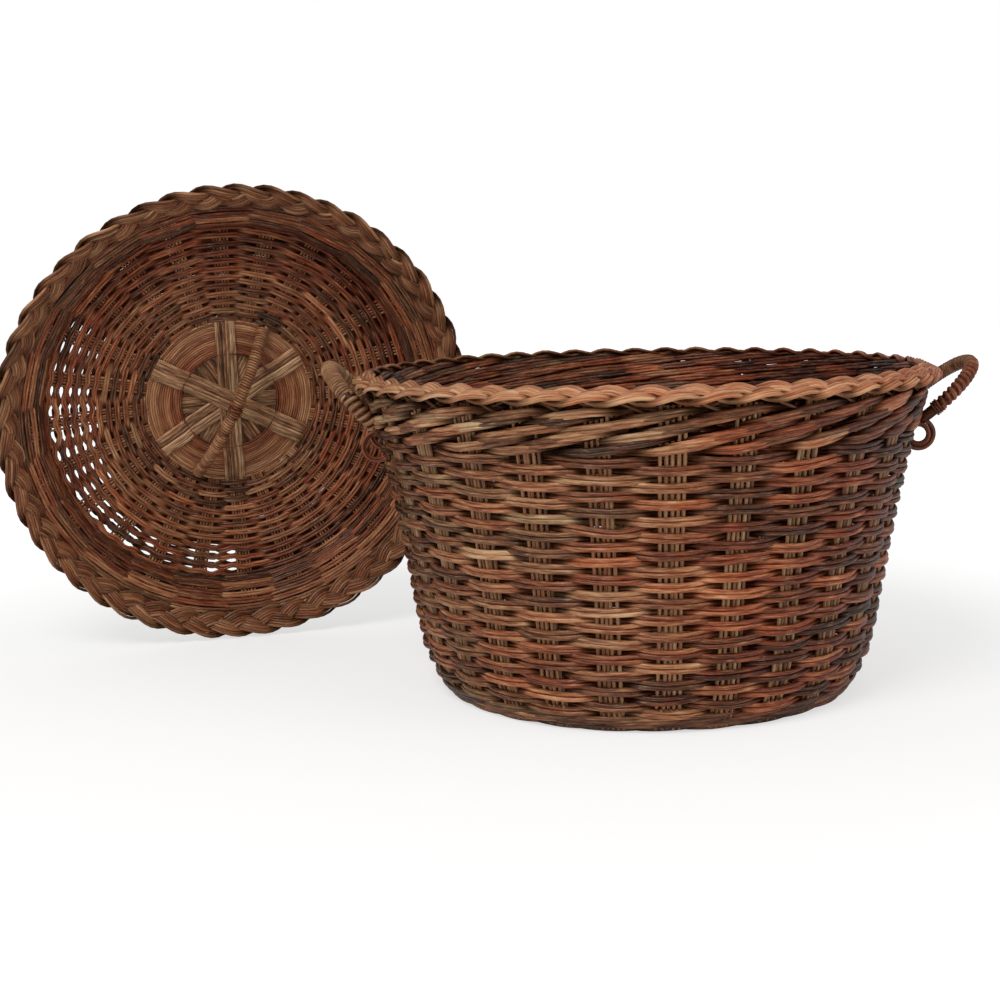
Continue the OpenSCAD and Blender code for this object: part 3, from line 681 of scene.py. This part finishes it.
# Flat gives an arm cane's width, thickness and spacing; lower and upper give the arms' turn, height and dip.
baseHub = {"radius": 75, "inner": 36, "fine": 2.5, "cane": 2.7, "height": 6, "armEach": 4, "flat": (5.4, 2.6, 5.4),
           "lower": (0, 2.2, 0), "upper": (30, 9.6, 4)}
canePiece("baseArmsLower", hubArms(baseHub, *baseHub["lower"]), 0, "split_cane", "basket", ["base_arms_lower"],
          flat=baseHub["flat"][:2], twist="Z_UP")
canePiece("baseArmsUpper", hubArms(baseHub, *baseHub["upper"]), 0, "split_cane", "basket", ["base_arms_upper"],
          flat=baseHub["flat"][:2], twist="Z_UP")
canePiece("baseWinding", hubWinding(baseHub), baseHub["cane"], "fine_winding", "basket", ["base_winding"], closed=True,
          twist="Z_UP")

base = {"stakes": 26, "turn": wall["turn"], "steps": 8, "cane": 3.0, "swing": 2.9, "each": 2, "apart": 2.7,
        "rings": [(r, 6.0, 0.0, 1.0) for r in np.arange(77.5, 187, 5.1)], "slip": 0, "lobes": [], "paintedTopShade": 0,
        "tone": ((0, 1), (0.48, 0.48)), "warm": ((0, 1), (0.55, 0.55)),
        "stakeEach": 4, "stakeCane": 3.0, "stakeApart": ((75, 200), (3.0, 4.6)),
        "stakePath": [(72, 6), (100, 6), (140, 6), (180, 6), (196, 7), (202, 14), (206, 24)]}
canePiece("baseRows", floorRows(base), base["cane"], "weaver_cane", "basket", ["base_weave"], closed=True,
          twist="Z_UP")
canePiece("baseStakes", radialStakes(base), base["stakeCane"], "stake_cane", "basket", ["base_stakes"])
print("base done")

# The lid is made lying on its back and then stood on edge; its hub sits in the middle of the solid's winding.
lid = {"yaw": 16.7, "lean": 11.6, "raise": 0.002, "slope": (24, 111.5)}
lidMiddle = np.mean(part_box("lid_winding"), axis=0)
lidFrame = (Matrix.Translation(lidMiddle) @ turned(lid["yaw"], "Z") @ turned(90 + lid["lean"], "X")
            @ Matrix.Translation((0, 0, lid["raise"])))
lidSlope = math.atan2(*lid["slope"])

lidHub = {"radius": 91.5, "inner": 52.5, "fine": 2.45, "cane": 2.7, "height": -1.9, "armEach": 6,
          "flat": (3.9, 1.7, 3.8), "lower": (3, -5.6, 0), "upper": (33, 1.6, 4.2)}
lidLining = {"radius": 91, "inner": 53, "fine": 2.3, "cane": 2.4, "height": -3.9}      # behind the winding
lidBacking = {"radius": 56, "inner": 12, "fine": 2.6, "cane": 2.9, "height": -8.0}     # behind the arms
canePiece("lidArmsLower", hubArms(lidHub, *lidHub["lower"]), 0, "split_cane", "lid", ["lid_arms_lower"],
          flat=lidHub["flat"][:2], twist="Z_UP", frameOf=lidFrame)
canePiece("lidArmsUpper", hubArms(lidHub, *lidHub["upper"]), 0, "split_cane", "lid", ["lid_arms_upper"],
          flat=lidHub["flat"][:2], twist="Z_UP", frameOf=lidFrame)
canePiece("lidHubLining", hubWinding(lidLining), lidLining["cane"], "fine_winding", "lid", closed=True, twist="Z_UP",
          frameOf=lidFrame)
canePiece("lidHubBacking", hubWinding(lidBacking), lidBacking["cane"], "fine_winding", "lid", closed=True,
          twist="Z_UP", frameOf=lidFrame)
canePiece("lidWinding", hubWinding(lidHub), lidHub["cane"], "fine_winding", "lid", ["lid_winding"], closed=True,
          twist="Z_UP", frameOf=lidFrame)

lidFloor = {"stakes": 24, "turn": 33, "steps": 12, "cane": 3.6, "swing": 2.3, "each": 2, "apart": 3.1,
            "rings": [(r, (r - 91.5) * 0.215 - 2, math.sin(lidSlope), math.cos(lidSlope))
                      for r in np.arange(94.5, 201, 4.75)],
            # painted shade towards the top of the lid
            "slip": 3.4, "paintedTopShade": 0.02,
            "lobes": [(184, 26, (140, 152, 194, 199)), (222, 30, (166, 176, 194, 199)),
                      (264, 11, (160, 170, 194, 199))],
            "tone": ((0, 0.4, 1), (0.52, 0.50, 0.42)), "warm": ((0, 0.3, 1), (0.45, 0.62, 0.85)),
            "stakeEach": 5, "stakeCane": 2.8, "stakeApart": ((91, 200), (2.7, 3.7)),
            "stakePath": [(88, -2.5), (110, 2), (150, 10.6), (190, 19), (200, 22.5), (203.5, 32), (207.5, 44),
                          (217, 52)]}
canePiece("lidRows", floorRows(lidFloor), lidFloor["cane"], "weaver_cane", "lid", ["lid_weave"], closed=True,
          twist="Z_UP", frameOf=lidFrame)


# Rings for rows that follow a path of radii and heights, a pitch apart.
def ringsAlong(path, pitch):
    path = np.array(path, float)
    walked = np.concatenate([[0], np.cumsum(np.linalg.norm(np.diff(path, axis=0), axis=1))])
    rings = []
    for far in np.arange(1.5, walked[-1], pitch):
        k = min(np.searchsorted(walked, far, "right") - 1, len(path) - 2)
        way = (path[k + 1] - path[k]) / (walked[k + 1] - walked[k])
        rings.append((np.interp(far, walked, path[:, 0]), np.interp(far, walked, path[:, 1]), way[1], way[0]))
    return rings


# The rows go on up the short wall and then out under the plait.
lidWall = dict(lidFloor, rings=ringsAlong([(200.5, 20), (207.5, 44), (215, 49), (235, 59.5)], 3.6), swing=2.2, lobes=[],
               tone=((0, 1), (0.36, 0.44)), warm=((0, 1), (0.78, 0.48)))
canePiece("lidWallRows", floorRows(lidWall), lidWall["cane"], "weaver_cane", "lid", ["lid_wall"], closed=True,
          twist="Z_UP", frameOf=lidFrame)
canePiece("lidStakes", radialStakes(lidFloor), lidFloor["stakeCane"], "stake_cane", "lid", ["lid_stakes"],
          frameOf=lidFrame)

plaitTilt = math.radians(43)
lidEdge = {"radius": 238, "height": 66.5, "periods": 16, "swing": 8, "lift": 3.2, "each": 6, "apart": 2.9,
           "hump": 1.6, "cane": 3.3, "across": (math.cos(plaitTilt), math.sin(plaitTilt)),
           "out": (-math.sin(plaitTilt), math.cos(plaitTilt)), "tone": 0.52, "warm": 0.38, "warmthAndLightSwing": 0.0}
canePiece("lidPlait", plait(lidEdge), lidEdge["cane"], "plaited_cane", "lid", ["lid_plait"], closed=True, sides=8,
          twist="Z_UP", frameOf=lidFrame)
print("lid done")


wraps = {"points": 10, "lapTone": 0.07, "lapWarmth": 0.08}
# A core carries painted shade, as it lies under its wrapping.
cores = {"points": 40, "tone": 0.25, "warmth": 0.8, "shadowing": 0.4}


# A cane wound round an arch that lies in its own XY plane, round the origin.
def wound(arch, coil, low, high, pitch, tone, warmth, points=wraps["points"]):
    turns = (high - low) * arch / pitch
    count = int(turns * points)
    angle = np.linspace(low, high, count)
    spin = np.linspace(0, turns * turnAll, count)
    radius = arch + coil * np.cos(spin)
    ring = np.column_stack([radius * np.cos(angle), radius * np.sin(angle), coil * np.sin(spin)])
    lap = np.floor((angle - low) * arch / pitch).astype(int)
    shade = dice.normal(0, wraps["lapTone"], lap.max() + 1)[lap]
    return strand(ring, tone + shade, warmth + dice.normal(0, wraps["lapWarmth"], lap.max() + 1)[lap])


def archCore(arch, low, high):
    angle = np.linspace(low, high, cores["points"])
    return strand(onRing(arch, angle, 0), cores["tone"], cores["warmth"], cores["shadowing"])


# The photo shows the handles a little higher, slimmer and further out than the solids.
grip = {"wrap": 2.9, "coil": 5.4, "pitch": 2.9, "core": 10.8, "coreEnds": (-27, 207), "bar": 4.6, "barCoil": 4.7,
        "barPitch": 6.3, "collar": 2.2, "collarCoil": 6.4, "collarPitch": 2.3, "collars": ((-11, -3), (181, 189)),
        "collarTone": 0.34, "collarWarmth": 0.7}
# Plain and bars are the arcs that are wrapped closely and openly; a tail has a cane, half a gap and a bow.
sideHandles = {
    "Right": {"turn": 0, "rootX": 274, "rootZ": 269.4, "tilt": 48.9, "arch": 53, "lean": 0, "thicker": 0,
              "plain": (-9, 104), "bars": (104, 184), "tone": 0.42, "warmth": 0.22, "barTone": 0.44,
              "barWarmth": 0.75, "tail": (4.6, 2.3, 11.4)},
    "Left": {"turn": 180, "rootX": 267.5, "rootZ": 273.5, "tilt": 42, "arch": 50.5, "lean": -16, "thicker": 1.3,
             "plain": (38, 189), "bars": (-4, 38), "tone": 0.62, "warmth": 0.14, "barTone": 0.6,
             "barWarmth": 0.2, "tail": (3.0, 1.1, 13)},
}


def sideHandle(word, handle):
    arch, more = handle["arch"], handle["thicker"]
    place = (turned(handle["turn"], "Z") @ Matrix.Translation((handle["rootX"] / 1000, 0, handle["rootZ"] / 1000))
             @ turned(handle["tilt"], "Y") @ turned(90, "Z") @ turned(90, "X") @ turned(handle["lean"], "Z"))
    wrap = wound(arch, grip["coil"] + more, *np.radians(handle["plain"]), grip["pitch"], handle["tone"],
                 handle["warmth"])
    canePiece("handleWrap" + word, [wrap], grip["wrap"], "wrapping_cane", "basket", ["handle_wrap_" + word.lower()],
              frameOf=place)
    bars = wound(arch, grip["barCoil"] + more, *np.radians(handle["bars"]), grip["barPitch"], handle["barTone"],
                 handle["barWarmth"], points=14)
    canePiece("handleBars" + word, [bars], grip["bar"], "wrapping_cane", "basket", sides=8, frameOf=place)
    collars = [wound(arch, grip["collarCoil"] + more, *np.radians(ends), grip["collarPitch"], grip["collarTone"],
                     grip["collarWarmth"]) for ends in grip["collars"]]
    canePiece("handleCollars" + word, collars, grip["collar"], "wrapping_cane", "basket", frameOf=place)
    canePiece("handleCore" + word, [archCore(arch, *np.radians(grip["coreEnds"]))], grip["core"] + 2 * more,
              "handle_core_cane", "basket", ["handle_core_" + word.lower()], sides=12, frameOf=place)


for word, handle in sideHandles.items():
    sideHandle(word, handle)

# Bare canes that bow out below each root and go back into the wall.
tails = {"bearing": 11.2, "height": 241, "out": 3.6, "ends": (-2.3, 2.1), "beside": 0.9, "twist": 0.5,
         "tone": (0.38, 0.05), "warmth": 0.7}


def handleTails(handle):
    made = []
    _, apart, bowing = handle["tail"]
    t = np.linspace(*tails["ends"], 23)
    for side in (-1, 1):
        for pair in (-1, 1):
            bearing = math.radians(handle["turn"] + side * tails["bearing"])
            bowed = bowing + pair * apart
            out = wallRadius(tails["height"]) + tails["out"] + bowed * np.cos(t)
            across = pair * tails["beside"] + tails["twist"] * np.sin(t * 1.4 + pair)
            z = tails["height"] + bowed * np.sin(t)
            made.append(strand(np.column_stack([
                out * math.cos(bearing) - across * math.sin(bearing),
                out * math.sin(bearing) + across * math.cos(bearing), z]),
                dice.normal(*tails["tone"]), tails["warmth"]))
    return made


for word, handle in sideHandles.items():
    canePiece("handleTails" + word, handleTails(handle), handle["tail"][0], "handle_core_cane", "basket",
              ["handle_tails_" + word.lower()], sides=8)
print("side handles done")

# A shallow bow over the hub, with a small knot in the middle of its wrapping.
bow = {"turn": 65, "height": 38, "end": 89, "grip": 13.5, "wrap": 2.6, "pitch": 2.9, "core": 10.5, "past": 0.04,
       "tone": 0.62, "warmth": 0.34, "knot": 2.2}
bowRadius = (bow["end"] ** 2 + bow["height"] ** 2) / (2 * bow["height"])
bowHalf = math.asin(bow["end"] / bowRadius)
bowMiddle = math.pi / 2
bowFrame = (lidFrame @ turned(bow["turn"], "Z") @ Matrix.Translation((0, 0, (bow["height"] - bowRadius) / 1000))
            @ turned(90, "X"))
canePiece("lidHandleWrap", [wound(bowRadius, (bow["grip"] - bow["wrap"]) / 2, bowMiddle - bowHalf, bowMiddle + bowHalf,
                                  bow["pitch"], bow["tone"], bow["warmth"])],
          bow["wrap"], "wrapping_cane", "lid", ["lid_handle_wrap"], frameOf=bowFrame)
canePiece("lidHandleCore", [archCore(bowRadius, bowMiddle - bowHalf - bow["past"], bowMiddle + bowHalf + bow["past"])],
          bow["core"], "handle_core_cane", "lid", ["lid_handle_core"], sides=12, frameOf=bowFrame)
canePiece("lidHandleKnot", [wound(bowRadius, 6.9, bowMiddle - 0.06, bowMiddle + 0.035, 3.2, 0.42, 0.6),
                            wound(bowRadius, 7.6, bowMiddle + 0.04, bowMiddle - 0.05, -6.0, 0.52, 0.55)],
          bow["knot"], "wrapping_cane", "lid", ["lid_handle_knot"], frameOf=bowFrame)
print("lid handle done")

# Metres and watts. The camera sees the paper nearly white; what falls on the object stays plain.
stage = {"paper": "#fbfaf8", "half": 6, "rough": 0.9, "glow": 1.12, "middle": (-0.17, 0.03, 0), "near": (0.55, 1.15),
         "bright": (0.55, 1.0), "world": 0.5}
lamps = {"keyLamp": {"place": (-0.9, -1.7, 2.1), "aim": (-0.1, 0, 0.2), "size": 1.2, "power": 34.0},
         "fillLamp": {"place": (1.9, -1.2, 1.3), "aim": (0, 0, 0.2), "size": 1.4, "power": 8.0}}


# Matt studio paper: near the object it takes the shadow, and further off it glows white for the camera alone.
def plainFloor():
    sheet = bmesh.new()
    bmesh.ops.create_grid(sheet, x_segments=1, y_segments=1, size=stage["half"])
    mesh = bpy.data.meshes.new("studioFloor")
    sheet.to_mesh(mesh)
    sheet.free()
    floor = addObject("studioFloor", mesh)
    material = bpy.data.materials.new("paleStudioPaper")
    material.use_nodes = True
    tree = material.node_tree
    shader = tree.nodes["Principled BSDF"]
    feed(tree, shader, {"Base Color": linear(stage["paper"]), "Roughness": stage["rough"]})
    glow = addNode(tree, "Emission", {"Color": (1, 1, 1, 1), "Strength": stage["glow"]})
    eye = addNode(tree, "LightPath")
    spot = addNode(tree, "TexCoord").outputs["Object"]
    far = addNode(tree, "VectorMath", {0: spot, 1: stage["middle"]}, operation="DISTANCE")
    bright = addNode(tree, "MapRange", {"Value": far.outputs["Value"], "From Min": stage["near"][0],
                                        "From Max": stage["near"][1], "To Min": stage["bright"][0],
                                        "To Max": stage["bright"][1]})
    share = addNode(tree, "Math", {0: eye.outputs["Is Camera Ray"], 1: bright.outputs[0]}, operation="MULTIPLY")
    both = addNode(tree, "MixShader", {0: share.outputs[0], 1: shader.outputs[0], 2: glow.outputs[0]})
    feed(tree, tree.nodes["Material Output"], {"Surface": both.outputs[0]})
    mesh.materials.append(material)


def addLamp(name, lamp):
    data = bpy.data.lights.new(name, "AREA")
    data.shape, data.size, data.energy = "DISK", lamp["size"], lamp["power"]
    place = Matrix.Translation(lamp["place"])
    way = place.to_translation() - Matrix.Translation(lamp["aim"]).to_translation()
    addObject(name, data).matrix_world = place @ way.to_track_quat("Z", "Y").to_matrix().to_4x4()


# Even soft light from all round, with white behind the floor's edge.
def studioAir():
    world = bpy.data.worlds.new("studioAir")
    world.use_nodes = True
    scene.world = world
    sky = world.node_tree
    ray = addNode(sky, "LightPath")
    seen = addNode(sky, "Math", {0: ray.outputs["Is Camera Ray"], 1: ray.outputs["Is Transmission Ray"]},
                   operation="MAXIMUM")
    power = addNode(sky, "MapRange", {"Value": seen.outputs[0], "To Min": stage["world"], "To Max": 1.0})
    feed(sky, sky.nodes["Background"], {"Color": (1, 1, 1, 1), "Strength": power.outputs[0]})


plainFloor()
for name, lamp in lamps.items():
    addLamp(name, lamp)
studioAir()
scene.view_settings.view_transform = "Standard"
print("stage set")
